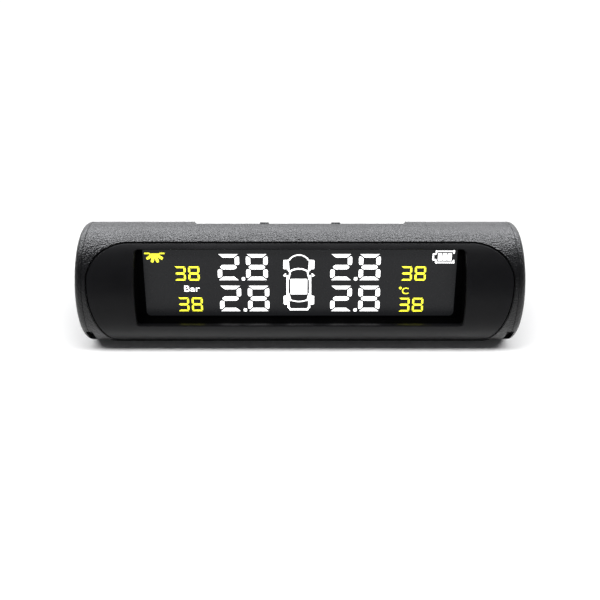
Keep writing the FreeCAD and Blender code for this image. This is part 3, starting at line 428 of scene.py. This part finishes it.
GREEN_MASK = (0.012, 0.10, 0.035)
FINISHES: dict[str, object] = {
    "textured_black": Moulded("textured_black", (0.0028, 0.0028, 0.0032),
                              roughness=0.32, grain=0.00045, depth=0.00022, unevenness=0.15, specular=0.36),
    "satin_black": Moulded("satin_black", (0.0045, 0.0045, 0.005),
                           roughness=0.4, grain=0.00025, depth=0.000003, unevenness=0.15, specular=0.1),
    "mask_black": Moulded("mask_black", (0.0008, 0.0008, 0.0009),
                          roughness=0.9, grain=0.0003, depth=0.00001, unevenness=0.2, specular=0.02),
    "white_plastic": Moulded("white_plastic", (0.8, 0.8, 0.78),
                             roughness=0.45, grain=0.0003, depth=0.000005, unevenness=0.04),
    "white_film": Moulded("white_film", (0.85, 0.85, 0.85),
                          roughness=0.7, grain=0.0002, depth=0.000003, unevenness=0.03),
    "board_white": Moulded("board_white", (0.7, 0.7, 0.66),
                           roughness=0.4, grain=0.0003, depth=0.000005, unevenness=0.05),
    "chip_black": Moulded("chip_black", (0.02, 0.02, 0.021), roughness=0.6, grain=0.00012, depth=0.000008),
    "switch_black": Moulded("switch_black", (0.02, 0.02, 0.02),
                            roughness=0.45, grain=0.0002, depth=0.000006),
    "button_rubber": Moulded("button_rubber", (0.03, 0.03, 0.032),
                             roughness=0.65, grain=0.00025, depth=0.00002, unevenness=0.15, specular=0.35),
    "foam_tape": Moulded("foam_tape", (0.05, 0.05, 0.05),
                         roughness=0.9, grain=0.0006, depth=0.0001, unevenness=0.3, specular=0.1),
    "pad_grey": Moulded("pad_grey", (0.035, 0.035, 0.036),
                        roughness=0.8, grain=0.0005, depth=0.00006, unevenness=0.2, specular=0.2),
    "lead_plastic": Moulded("lead_plastic", (0.45, 0.02, 0.02),
                            roughness=0.4, grain=0.0004, depth=0.000004, unevenness=0.1),
    "steel_screw": Metal("steel_screw", (0.55, 0.55, 0.57), 0.32),
    "tin_plate": Metal("tin_plate", (0.66, 0.66, 0.67), 0.28),
    "copper_wire": Metal("copper_wire", (0.75, 0.36, 0.2), 0.25),
    "clear_glass": Clear("clear_glass", (0.85, 0.9, 0.9), 0.02),
    "clear_acrylic": Clear("clear_acrylic", (0.95, 0.96, 0.97), 0.08),
    "solar_cover_clear": Clear("solar_cover_clear", (0.9, 0.93, 0.97), 0.1, 1.0, 1.22),
    "circuit_board": Laminate("circuit_board", GREEN_MASK, (0.05, 0.22, 0.07)),
    "solar_cell_blue": SolarCell("solar_cell_blue", (0.004, 0.006, 0.025), (0.012, 0.02, 0.08),
                                 (0.55, 0.56, 0.58)),
    "pouch_foil": Foil("pouch_foil", (0.72, 0.73, 0.75)),
    "contact_rubber": BandedRubber("contact_rubber", (0.03, 0.03, 0.03), (0.25, 0.25, 0.25)),
    "display_face": DisplayFace("display_face", (0.004, 0.004, 0.0044), (0.009, 0.0095, 0.0105)),
}
INK_WHITE = LitInk("ink_white", (1.0, 1.0, 1.0), 1.1)
INK_YELLOW = LitInk("ink_yellow", (0.88, 0.86, 0.035), 0.95)


# ---------------------------------------------------------------- drawing
class Pen:
    """Modelling steps that act on one new object in edit mode."""

    @staticmethod
    def start(add: Callable[..., object], **settings: object) -> bpy.types.Object:
        """Adds a primitive with nothing else selected and opens it.

        Args:
            add: The operator that adds it.
            settings: The operator's settings.

        Returns:
            The new object, in edit mode.
        """
        bpy.ops.object.select_all(action="DESELECT")
        add(**settings)
        piece = bpy.context.object
        bpy.ops.object.mode_set(mode="EDIT")
        return piece

    @staticmethod
    def pick(piece: bpy.types.Object, kind: str, test: Callable[[Vector], bool]) -> None:
        """Selects the vertices, edges or faces whose middle passes a test."""
        bpy.ops.mesh.select_mode(type=kind)
        bpy.ops.mesh.select_all(action="DESELECT")
        mesh = bmesh.from_edit_mesh(piece.data)
        if kind == "VERT":
            for vertex in mesh.verts:
                vertex.select_set(test(vertex.co))
        elif kind == "EDGE":
            for edge in mesh.edges:
                edge.select_set(all(test(vertex.co) for vertex in edge.verts))
        else:
            for face in mesh.faces:
                face.select_set(test(face.calc_center_median()))
        bmesh.update_edit_mesh(piece.data)

    @staticmethod
    def resize(x: float, y: float) -> None:
        """Scales the selection in its plane, about the origin."""
        bpy.ops.transform.resize(value=(x, y, 1.0), center_override=(0.0, 0.0, 0.0))

    @staticmethod
    def move(x: float, y: float) -> None:
        """Moves the selection in its plane."""
        bpy.ops.transform.translate(value=(x, y, 0.0))

    @staticmethod
    def finish(piece: bpy.types.Object, thickness: float) -> bpy.types.Object:
        """Gives a flat drawing its thickness and closes the edit."""
        bpy.ops.mesh.select_mode(type="FACE")
        bpy.ops.mesh.select_all(action="SELECT")
        bpy.ops.mesh.extrude_region_move(TRANSFORM_OT_translate={"value": (0.0, 0.0, thickness)})
        bpy.ops.mesh.select_all(action="SELECT")
        bpy.ops.mesh.normals_make_consistent(inside=False)
        bpy.ops.object.mode_set(mode="OBJECT")
        return piece

    @staticmethod
    def shift(piece: bpy.types.Object, x: float, y: float, turn: float = 0.0) -> bpy.types.Object:
        """Turns a finished drawing by degrees and moves it, all in its mesh."""
        piece.data.transform(Matrix.Translation((x, y, 0.0)) @ Matrix.Rotation(math.radians(turn), 4, "Z"))
        return piece

    @staticmethod
    def copy(piece: bpy.types.Object) -> bpy.types.Object:
        """A second object with its own mesh."""
        twin = piece.copy()
        twin.data = piece.data.copy()
        bpy.context.collection.objects.link(twin)
        return twin

    @staticmethod
    def join(pieces: Sequence[bpy.types.Object], name: str) -> bpy.types.Object:
        """Makes one object of several and names it."""
        bpy.ops.object.select_all(action="DESELECT")
        for piece in pieces:
            piece.select_set(True)
        bpy.context.view_layer.objects.active = pieces[0]
        if len(pieces) > 1:
            bpy.ops.object.join()
        joined = bpy.context.view_layer.objects.active
        joined.name = name
        joined.data.name = name
        return joined


@dataclass(frozen=True)
class DisplayPlane:
    """Where the picture lies, in metres and degrees; the plane leans back with the tube."""

    lean: float = 8.0
    ahead: float = 8.5 * MM
    lift: float = 0.03 * MM

    def axis_height(self) -> float:
        """Height of the tube's axis, from the end caps' tops and the tube's radius."""
        low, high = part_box("left_end_cap")
        radius = (high.y - low.y) / 2
        return high.z - radius

    def matrix(self) -> Matrix:
        """Takes millimetres on the drawing to their place in front of the display."""
        upright = Matrix.Rotation(math.radians(90.0), 4, "X")
        forward = Matrix.Translation((0.0, -(self.ahead + self.lift), 0.0))
        lean = Matrix.Rotation(math.radians(-self.lean), 4, "X")
        raised = Matrix.Translation((0.0, 0.0, self.axis_height()))
        return raised @ lean @ forward @ upright @ Matrix.Scale(MM, 4)


class Ink(Enum):
    """The two colours of the picture."""

    WHITE = "white"
    YELLOW = "yellow"


@dataclass
class Drawing:
    """Flat shapes of the picture, drawn in millimetres with x right and y up."""

    thickness: float = 0.03

    def plate(self, width: float, height: float, corner: float, segments: int = 4) -> bpy.types.Object:
        """A plate with rounded corners."""
        piece = Pen.start(bpy.ops.mesh.primitive_plane_add, size=1.0)
        Pen.resize(width, height)
        bpy.ops.mesh.bevel(offset=corner, segments=segments, affect="VERTICES")
        return Pen.finish(piece, self.thickness)

    def disc(self, radius: float) -> bpy.types.Object:
        """A round dot."""
        piece = Pen.start(bpy.ops.mesh.primitive_circle_add, vertices=24, radius=radius, fill_type="NGON")
        return Pen.finish(piece, self.thickness)

    def arc(self, radius: float, width: float, keep: float, flat: float = 1.0) -> bpy.types.Object:
        """The top stretch of a ring.

        Args:
            radius: The ring's outer radius.
            width: The line's width.
            keep: Half the chord that is kept.
            flat: How far the arc is pressed flat.

        Returns:
            The arc, with its outer top at the origin.
        """
        piece = Pen.start(bpy.ops.mesh.primitive_circle_add, vertices=96, radius=radius, fill_type="NGON")
        bpy.ops.mesh.inset(thickness=width)
        bpy.ops.mesh.delete(type="FACE")
        cut = math.sqrt(max(radius * radius - keep * keep, 0.0))
        bpy.ops.mesh.select_all(action="SELECT")
        bpy.ops.mesh.bisect(plane_co=(0.0, cut, 0.0), plane_no=(0.0, 1.0, 0.0), clear_inner=True)
        bpy.ops.mesh.select_all(action="SELECT")
        Pen.move(0.0, -radius)
        Pen.resize(1.0, flat)
        return Pen.finish(piece, self.thickness)

    def wedge(self, width: float, height: float, top: float) -> bpy.types.Object:
        """A plate whose top edge has another width, down to a point."""
        piece = Pen.start(bpy.ops.mesh.primitive_plane_add, size=1.0)
        Pen.resize(width, height)
        Pen.pick(piece, "VERT", lambda place: place.y > 0)
        Pen.resize(top / width, 1.0)
        bpy.ops.mesh.select_all(action="SELECT")
        bpy.ops.mesh.bevel(offset=min(width, height) * 0.12, segments=2, affect="VERTICES")
        return Pen.finish(piece, self.thickness)

    def letters(self, text: str, height: float, weight: float, stretch: float) -> bpy.types.Object:
        """Generic unit lettering as a mesh, centred.

        Args:
            text: The letters.
            height: Their height in millimetres.
            weight: How much the strokes are thickened.
            stretch: How much the letters are widened.

        Returns:
            The lettering.
        """
        bpy.ops.object.select_all(action="DESELECT")
        bpy.ops.object.text_add()
        piece = bpy.context.object
        piece.data.body = text
        piece.data.align_x = "CENTER"
        piece.data.align_y = "CENTER"
        piece.data.size = height * 1.4
        piece.data.offset = weight
        piece.data.extrude = self.thickness / 2
        piece.data.resolution_u = 6
        bpy.ops.object.convert(target="MESH")
        piece = bpy.context.object
        piece.data.transform(Matrix.Diagonal((stretch, 1.0, 1.0, 1.0)))
        return piece


SEGMENTS_OF = {"2": "abged", "3": "abgcd", "8": "abcdefg"}


@dataclass
class Digit(Drawing):
    """A seven-segment figure with mitred segments and thin gaps."""

    width: float = 6.0
    height: float = 7.45
    stroke: float = 1.25
    upright_stroke: float = 1.5
    gap: float = 0.3
    corner: float = 0.85
    middle_height: float = 0.6
    middle_reach: float = 1.05

    def draw(self, figure: str) -> bpy.types.Object:
        """Draws one figure, centred on the origin."""
        stretch = self.upright_stroke / self.stroke
        half_x = self.width / stretch / 2
        half_y = self.height / 2
        piece = Pen.start(bpy.ops.mesh.primitive_plane_add, size=2.0)
        Pen.resize(half_x, half_y)
        bpy.ops.mesh.bisect(plane_co=(0.0, 0.0, 0.0), plane_no=(0.0, 1.0, 0.0))
        bpy.ops.mesh.select_all(action="SELECT")
        bpy.ops.mesh.select_mode(type="FACE")
        bpy.ops.mesh.inset(thickness=self.stroke, use_individual=True)
        bpy.ops.mesh.delete(type="ONLY_FACE")
        inner_y = self.stroke * self.middle_reach
        Pen.pick(piece, "VERT", lambda place: 0.1 < abs(place.y) < inner_y)
        Pen.resize(1.0, self.middle_height)
        Pen.pick(piece, "EDGE", lambda place: abs(place.y) < 0.01)
        bpy.ops.mesh.dissolve_edges()
        self._keep_lit(piece, SEGMENTS_OF[figure])
        bpy.ops.mesh.select_mode(type="FACE")
        bpy.ops.mesh.select_all(action="SELECT")
        bpy.ops.mesh.inset(thickness=self.gap / 2, use_individual=True)
        bpy.ops.mesh.select_all(action="INVERT")
        bpy.ops.mesh.delete(type="FACE")
        reach = self.gap
        Pen.pick(piece, "VERT", lambda place: abs(place.x) > half_x - reach)
        bpy.ops.mesh.bevel(offset=self.corner, segments=3, affect="VERTICES", clamp_overlap=True)
        bpy.ops.mesh.select_all(action="SELECT")
        Pen.resize(stretch, 1.0)
        return Pen.finish(piece, self.thickness)

    def _keep_lit(self, piece: bpy.types.Object, lit: str) -> None:
        """Deletes the segments that aren't lit."""
        def unlit(place: Vector) -> bool:
            """Whether the segment round a place is off."""
            if abs(place.x) < 0.1:
                name = "g" if abs(place.y) < self.stroke else ("a" if place.y > 0 else "d")
            elif place.x > 0:
                name = "b" if place.y > 0 else "c"
            else:
                name = "f" if place.y > 0 else "e"
            return name not in lit
        Pen.pick(piece, "FACE", unlit)
        bpy.ops.mesh.delete(type="FACE")


class End(Enum):
    """What a car piece's distance is measured from."""

    FRONT = 1.0
    MIDDLE = 0.0
    BACK = -1.0


@dataclass(frozen=True)
class Strip:
    """A rounded plate of the car: its size, and its place and turn on the right-hand side."""

    width: float
    height: float
    corner: float
    x: float
    end: End
    distance: float
    turn: float = 0.0


@dataclass(frozen=True)
class Bow:
    """A bowed line across the car: the ring it is cut from, and how far in from an end it lies."""

    radius: float
    keep: float
    end: End
    distance: float = 0.0
    flat: float = 1.0
    extra: float = 0.0


@dataclass
class CarSymbol(Drawing):
    """A plain car seen from above, of the builder's own drawing."""

    length: float = 15.6
    line: float = 0.36
    bonnet: Bow = Bow(3.1, 2.75, End.FRONT)
    windscreen: Bow = Bow(4.4, 2.85, End.FRONT, 3.75, extra=0.05)
    rear_screen: Bow = Bow(5.2, 2.8, End.BACK, 2.35, flat=0.9)
    roof: Strip = Strip(4.4, 4.3, 0.25, 0.0, End.MIDDLE, -1.1)
    tail: Strip = Strip(5.0, 0.55, 0.2, 0.0, End.BACK, 0.28)
    front_wheel: Strip = Strip(1.15, 2.5, 0.3, 3.45, End.FRONT, 2.8)
    rear_wheel: Strip = Strip(1.15, 2.5, 0.3, 3.45, End.BACK, 2.9)
    front_wing: Strip = Strip(0.62, 2.9, 0.2, 2.85, End.FRONT, 2.95, -4.0)
    rear_wing: Strip = Strip(0.55, 2.6, 0.2, 2.75, End.BACK, 1.95, -3.0)
    rear_corner: Strip = Strip(0.5, 1.3, 0.2, 2.45, End.BACK, 0.62, -42.0)
    mirror: Strip = Strip(0.75, 0.95, 0.0, 3.6, End.FRONT, 5.6, 30.0)
    mirror_tip: float = 0.15
    flank: Strip = Strip(0.55, 6.6, 0.2, 2.95, End.MIDDLE, -1.2)
    front_pillar: Strip = Strip(0.36, 2.7, 0.15, 2.45, End.FRONT, 5.75, 12.0)
    rear_pillar: Strip = Strip(0.36, 2.3, 0.15, 2.42, End.BACK, 3.75, -15.0)

    def draw(self) -> bpy.types.Object:
        """Draws the whole symbol, centred on the origin."""
        parts = [self._bow(self.bonnet), self._bow(self.windscreen), self._strip(self.roof),
                 self._bow(self.rear_screen), self._strip(self.tail)]
        for side in (-1.0, 1.0):
            parts += self._side(side)
        return Pen.join(parts, "car_symbol")

    def _height(self, end: End, distance: float) -> float:
        """A piece's y on the drawing."""
        if end is End.MIDDLE:
            return distance
        return end.value * (self.length / 2 - distance)

    def _bow(self, bow: Bow) -> bpy.types.Object:
        """Draws a bowed line in its place."""
        arc = self.arc(bow.radius, self.line + bow.extra, bow.keep, bow.flat)
        turn = 180.0 if bow.end is End.BACK else 0.0
        return Pen.shift(arc, 0.0, self._height(bow.end, bow.distance), turn)

    def _strip(self, strip: Strip, side: float = 1.0) -> bpy.types.Object:
        """Draws a plate in its place on one side."""
        plate = self.plate(strip.width, strip.height, strip.corner)
        return Pen.shift(plate, side * strip.x, self._height(strip.end, strip.distance), side * strip.turn)

    def _side(self, side: float) -> list[bpy.types.Object]:
        """The wheels, mirror, pillars and flank of one side."""
        mirror = self.wedge(self.mirror.width, self.mirror.height, self.mirror_tip)
        mirror_y = self._height(self.mirror.end, self.mirror.distance)
        parts = [self._strip(strip, side) for strip in (
            self.front_wheel, self.rear_wheel, self.front_wing, self.rear_wing, self.rear_corner)]
        parts.append(Pen.shift(mirror, side * self.mirror.x, mirror_y, side * self.mirror.turn))
        parts += [self._strip(strip, side) for strip in (self.flank, self.front_pillar, self.rear_pillar)]
        return parts


@dataclass
class BatterySymbol(Drawing):
    """A battery outline, open at one end, with full bars."""

    width: float = 5.8
    height: float = 3.45
    line: float = 0.4
    corner: float = 0.12
    bars: int = 3
    bar_pitch: float = 1.25

    def draw(self) -> bpy.types.Object:
        """Draws the symbol, centred on the origin."""
        half_x, half_y = self.width / 2, self.height / 2
        shell = self.width - 0.9
        parts = []
        for side in (-1.0, 1.0):
            long_side = self.plate(shell, self.line, self.corner)
            parts.append(Pen.shift(long_side, 0.4, side * (half_y - self.line / 2)))
            for x in (half_x - 0.28, -half_x + 0.95):
                corner_post = self.plate(self.line, 0.9, self.corner)
                parts.append(Pen.shift(corner_post, x, side * (half_y - 0.45)))
            parts.append(Pen.shift(self.plate(0.8, self.line, self.corner), -half_x + 0.62, side * 0.78))
        parts.append(Pen.shift(self.plate(self.line, 1.9, 0.18), -half_x + 0.22, 0.0))
        for index in range(self.bars):
            bar = self.plate(self.bar_pitch - 0.17, self.height - 1.45, self.corner)
            parts.append(Pen.shift(bar, (index - 1) * self.bar_pitch + 0.3, 0.0))
        return Pen.join(parts, "battery_symbol")


@dataclass
class SunSymbol(Drawing):
    """Half a sun under a bar, for charging by daylight."""

    radius: float = 1.35
    rays: int = 6
    ray_length: float = 1.45
    ray_reach: float = 1.85
    ray_width: float = 0.75
    end_reach: float = 1.95
    end_width: float = 0.45

    def draw(self) -> bpy.types.Object:
        """Draws the symbol, with the middle of its bar at the origin."""
        piece = Pen.start(bpy.ops.mesh.primitive_circle_add, vertices=32, radius=self.radius,
                          fill_type="NGON")
        bpy.ops.mesh.bisect(plane_co=(0.0, 0.0, 0.0), plane_no=(0.0, 1.0, 0.0), clear_outer=True,
                            use_fill=False)
        parts = [Pen.finish(piece, self.thickness)]
        for index in range(self.rays):
            turn = 180.0 + 180.0 * index / (self.rays - 1)
            angle = math.radians(turn)
            inner = 0 < index < self.rays - 1
            reach = self.ray_reach if inner else self.end_reach
            width = self.ray_width if inner else self.end_width
            ray = self.plate(self.ray_length, width, width * 0.45)
            parts.append(Pen.shift(ray, reach * math.cos(angle), reach * math.sin(angle), turn))
        return Pen.join(parts, "sun_symbol")


@dataclass
class Picture:
    """The lit picture: figures for four wheels, a car, a battery, a sun and two units."""

    plane: DisplayPlane = field(default_factory=DisplayPlane)
    pressures: Mapping[str, tuple[float, float]] = field(default_factory=lambda: {
        "left_front": (-14.9, 6.8), "left_rear": (-14.6, -1.95),
        "right_front": (14.4, 6.8), "right_rear": (14.5, -1.95)})
    pressure_pitch: float = 7.4
    temperatures: Mapping[str, tuple[float, float]] = field(default_factory=lambda: {
        "left_front": (-29.45, 5.05), "left_rear": (-28.95, -3.6),
        "right_front": (29.55, 5.05), "right_rear": (29.3, -3.7)})
    temperature_pitch: float = 3.6
    car_at: tuple[float, float] = (-0.3, 2.5)
    battery_at: tuple[float, float] = (37.15, 9.6)
    sun_at: tuple[float, float] = (-37.6, 10.55)
    bar_at: tuple[float, float] = (-28.45, 0.75)
    degree_at: tuple[float, float] = (26.35, 1.0)
    celsius_at: tuple[float, float] = (27.65, 0.1)

    def build(self, inks: Mapping[Ink, bpy.types.Material]) -> None:
        """Draws every piece, puts it in place and gives it its ink."""
        large = Digit()
        small = Digit(width=3.1, height=4.05, stroke=0.62, upright_stroke=0.7, gap=0.16, corner=0.35)
        two, eight = large.draw("2"), large.draw("8")
        small_three, small_eight = small.draw("3"), small.draw("8")
        drawing = Drawing()
        for wheel, (x, y) in self.pressures.items():
            dot = Pen.shift(drawing.plate(0.9, 0.9, 0.28), x + 0.12, y - large.height / 2 + 0.5)
            pair = self._pair(two, eight, x, y, self.pressure_pitch)
            self._show(Pen.join([*pair, dot], f"pressure_{wheel}"), inks[Ink.WHITE])
        for wheel, (x, y) in self.temperatures.items():
            pair = self._pair(small_three, small_eight, x, y, self.temperature_pitch)
            self._show(Pen.join(pair, f"temperature_{wheel}"), inks[Ink.YELLOW])
        for pattern in (two, eight, small_three, small_eight):
            bpy.data.objects.remove(pattern)
        self._show(Pen.shift(CarSymbol().draw(), *self.car_at), inks[Ink.WHITE])
        self._show(Pen.shift(BatterySymbol().draw(), *self.battery_at), inks[Ink.WHITE])
        self._show(Pen.shift(SunSymbol().draw(), *self.sun_at), inks[Ink.YELLOW])
        bar = Pen.shift(drawing.letters("Bar", 1.7, 0.015, 1.3), *self.bar_at)
        self._show(Pen.join([bar], "pressure_unit"), inks[Ink.WHITE])
        degree = Pen.shift(drawing.disc(0.36), *self.degree_at)
        celsius = Pen.shift(drawing.letters("C", 1.8, 0.015, 1.1), *self.celsius_at)
        self._show(Pen.join([degree, celsius], "temperature_unit"), inks[Ink.YELLOW])

    @staticmethod
    def _pair(first: bpy.types.Object, second: bpy.types.Object, x: float, y: float,
              pitch: float) -> list[bpy.types.Object]:
        """Copies of two figures side by side."""
        return [Pen.shift(Pen.copy(first), x - pitch / 2, y), Pen.shift(Pen.copy(second), x + pitch / 2, y)]

    def _show(self, piece: bpy.types.Object, ink: bpy.types.Material) -> None:
        """Puts a drawn piece on the display's plane, on its body, with its ink."""
        piece.data.transform(self.plane.matrix())
        piece.data.materials.clear()
        piece.data.materials.append(ink)
        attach(piece, BODY)
        LOG.info("drew %s", piece.name)


# ---------------------------------------------------------------- studio
@dataclass(frozen=True)
class Softbox:
    """A large soft lamp that faces the object.

    The key lamp lights surfaces and adds no gloss; a gloss lamp is only seen as a reflection.
    """

    name: str
    bearing: float
    distance: float
    size: tuple[float, float]
    radiance: float
    gloss: bool = False
    tint: Colour = (0.96, 0.97, 1.0)

    def place(self, target: Vector) -> None:
        """Adds the lamp; bearing is the angle from the front, over the top, in degrees."""
        data = bpy.data.lights.new(self.name, "AREA")
        data.shape = "RECTANGLE"
        data.size, data.size_y = self.size
        data.color = self.tint if self.gloss else (1.0, 1.0, 1.0)
        data.energy = self.radiance * math.pi * self.size[0] * self.size[1]
        lamp = bpy.data.objects.new(self.name, data)
        lamp.visible_glossy = self.gloss
        lamp.visible_diffuse = not self.gloss
        bpy.context.scene.collection.objects.link(lamp)
        turn = math.radians(self.bearing)
        away = Vector((0.0, -math.cos(turn), math.sin(turn))) * self.distance
        lamp.location = target + away
        lamp.rotation_euler = away.to_track_quat("Z", "Y").to_euler()


@dataclass
class Studio:
    """Pale floor, soft light and the camera."""

    floor_size: float = 12.0
    floor_tone: Colour = (0.9, 0.9, 0.9)
    floor_shade: float = 0.985
    sky: float = 0.14
    sky_tone: tuple[float, float, float, float] = (0.94, 0.96, 1.0, 1.0)
    elevation: float = 28.0
    aim_below: float = 1.36
    distance: float = 0.224
    lens: float = 49.3
    sensor: float = 36.0
    lamps: tuple[Softbox, ...] = (
        Softbox("key", 64.0, 4.0, (6.0, 0.9), 18.0),
        Softbox("gloss_strip", 124.0, 0.8, (1.8, 0.2), 20.0, True),
        Softbox("gloss_back", 156.0, 1.0, (2.4, 0.6), 2.6, True),
    )

    def build(self, axis_height: float) -> None:
        """Adds the floor, the lamps, the world and the camera."""
        target = Vector((0.0, 0.0, axis_height))
        self._floor()
        for lamp in self.lamps:
            lamp.place(target)
        world = bpy.data.worlds.new("studio")
        world.use_nodes = True
        background = world.node_tree.nodes["Background"]
        background.inputs["Color"].default_value = self.sky_tone
        background.inputs["Strength"].default_value = self.sky
        scene = bpy.context.scene
        scene.world = world
        scene.view_settings.view_transform = "Standard"
        self._camera(target)

    def _floor(self) -> None:
        """A wide pale floor at height zero."""
        floor = Pen.start(bpy.ops.mesh.primitive_plane_add, size=self.floor_size)
        bpy.ops.mesh.subdivide(number_cuts=3)
        bpy.ops.object.mode_set(mode="OBJECT")
        floor.name = "floor"
        graph = Graph("floor_paper")
        pale = graph.noise(0.5, 2.0)
        shade = tuple(channel * self.floor_shade for channel in self.floor_tone)
        graph.surface(Base_Color=graph.blend(pale, self.floor_tone, shade), Roughness=0.9,
                      Specular_IOR_Level=0.0)
        floor.data.materials.append(graph.material)

    def _camera(self, target: Vector) -> None:
        """A camera straight in front, above the object."""
        data = bpy.data.cameras.new("camera")
        data.lens = self.lens
        data.sensor_width = self.sensor
        data.clip_start = 0.01
        camera = bpy.data.objects.new("camera", data)
        bpy.context.scene.collection.objects.link(camera)
        rise = math.radians(self.elevation)
        camera.location = target + Vector((0.0, -math.cos(rise), math.sin(rise))) * self.distance
        camera.rotation_euler = (math.radians(90.0 - self.elevation - self.aim_below), 0.0, 0.0)
        bpy.context.scene.camera = camera


# ---------------------------------------------------------------- the monitor
@dataclass
class Monitor:
    """The CAD pieces with their finishes, and the picture on the display."""

    picture: Picture = field(default_factory=Picture)

    def dress(self) -> None:
        """Gives every CAD piece the finish of its slot."""
        materials = {name: finish.build() for name, finish in FINISHES.items()}
        slots = {part["node"]: part["material_slot"] for part in frame["record"]["subparts"]}
        for name, node in frame["nodes"].items():
            node.data.materials.clear()
            node.data.materials.append(materials[slots[name]])
            LOG.info("dressed %s as %s", name, slots[name])

    def build(self) -> None:
        """Dresses the CAD pieces and draws the picture."""
        self.dress()
        self.picture.build({Ink.WHITE: INK_WHITE.build(), Ink.YELLOW: INK_YELLOW.build()})


def main() -> None:
    """Builds the studio and the monitor."""
    logging.basicConfig(level=logging.INFO, format="%(name)s: %(message)s")
    monitor = Monitor()
    Studio().build(monitor.picture.plane.axis_height())
    monitor.build()


if __name__ == "__main__":
    main()
